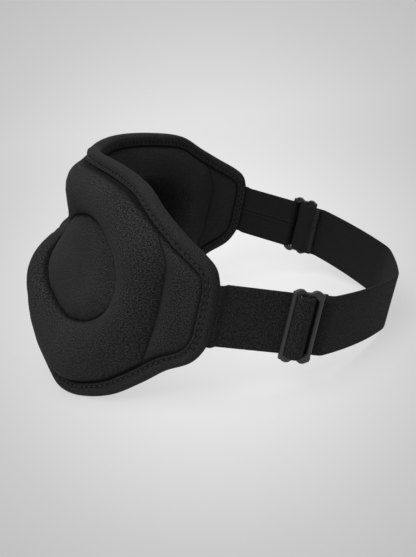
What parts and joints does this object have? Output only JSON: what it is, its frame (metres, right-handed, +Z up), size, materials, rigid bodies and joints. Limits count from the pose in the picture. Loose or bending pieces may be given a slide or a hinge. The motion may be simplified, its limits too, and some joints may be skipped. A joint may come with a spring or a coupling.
{
  "type": "contoured eye mask",
  "caption": "Contoured sleep mask for both eyes: moulded cloth cups with a bound edge, on an elastic band with a sliding buckle at each temple.",
  "frame": {"origin": "middle of the footprint, on the surface that the mask rests on", "axes": "-Y out of the front of the mask, +Y towards the back of the head, +X to the wearer's left, +Z up, with the mask laid back on its cheek lobes and the back of the band"},
  "size_m": [0.18, 0.1641, 0.0935],
  "materials": {
    "cover_knit": "fine black knit, matt",
    "lining_knit": "soft black brushed knit",
    "foam": "dark soft foam",
    "binding_tape": "black woven tape with two rows of stitches",
    "band_elastic": "black ribbed woven elastic",
    "slider_plastic": "dark grey moulded plastic, satin"
  },
  "bodies": {
    "root": {"front_cover": "cover_knit", "face_lining": "lining_knit", "cup_foam_left": "foam", "cup_foam_right": "foam", "edge_binding": "binding_tape", "temple_strap_left": "band_elastic", "temple_strap_right": "band_elastic", "back_strap": "band_elastic"},
    "slider_left": {"slider_left": "slider_plastic", "strap_loop_left": "band_elastic"},
    "slider_right": {"slider_right": "slider_plastic", "strap_loop_right": "band_elastic"}
  },
  "joints": [
    {"name": "left_slide", "type": "slide", "parent": "root", "child": "slider_left", "axis": [-0.2924, 0.902, -0.3177], "range_m": [-0.025, 0], "deforming": ["temple_strap_left"]},
    {"name": "right_slide", "type": "slide", "parent": "root", "child": "slider_right", "axis": [0.2924, 0.902, -0.3177], "range_m": [-0.025, 0], "deforming": ["temple_strap_right"]}
  ]
}
